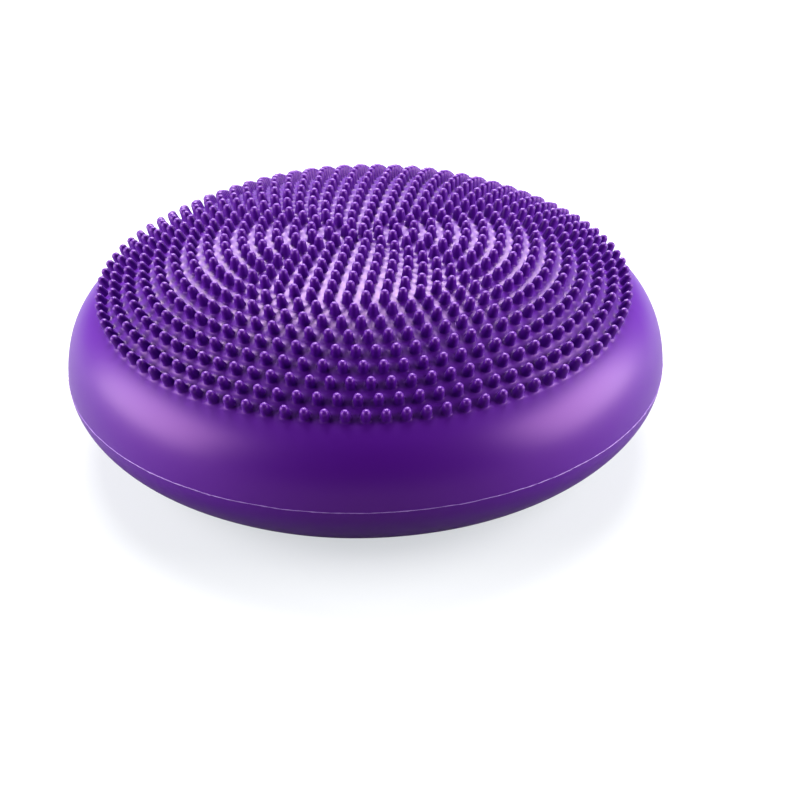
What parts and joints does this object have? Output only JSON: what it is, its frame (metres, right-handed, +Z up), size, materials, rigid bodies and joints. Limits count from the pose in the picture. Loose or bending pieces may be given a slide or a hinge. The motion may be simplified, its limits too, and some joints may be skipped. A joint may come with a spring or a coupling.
{
  "type": "wobble cushion",
  "caption": "Round air-filled wobble cushion with a domed top covered in rings of soft nubs, a smooth rounded rim and a needle valve.",
  "frame": {"origin": "on the floor, under the middle of the cushion", "axes": "+Z up along the cushion's round axis, +Y towards the side that carries the needle valve"},
  "size_m": [0.3316, 0.3316, 0.1187],
  "materials": {
    "skin": "satin",
    "weld": "satin",
    "collar": "satin",
    "valve_rubber": "matte"
  },
  "bodies": {
    "base": {"lower_shell": "skin", "valve_collar": "collar", "valve_core": "valve_rubber"},
    "rim": {"rim_weld": "weld"},
    "seat": {"upper_shell": "skin"}
  },
  "joints": [
    {"name": "tilt_side", "type": "hinge", "parent": "base", "child": "rim", "pos_m": [0, 0, 0.039], "axis": [0, 1, 0], "range_deg": [-8, 8], "stiffness_Nm_per_rad": 60, "deforming": ["lower_shell"]},
    {"name": "tilt_fore", "type": "hinge", "parent": "rim", "child": "seat", "pos_m": [0, 0, 0.039], "axis": [1, 0, 0], "range_deg": [-8, 8], "stiffness_Nm_per_rad": 60, "deforming": ["upper_shell"]}
  ]
}
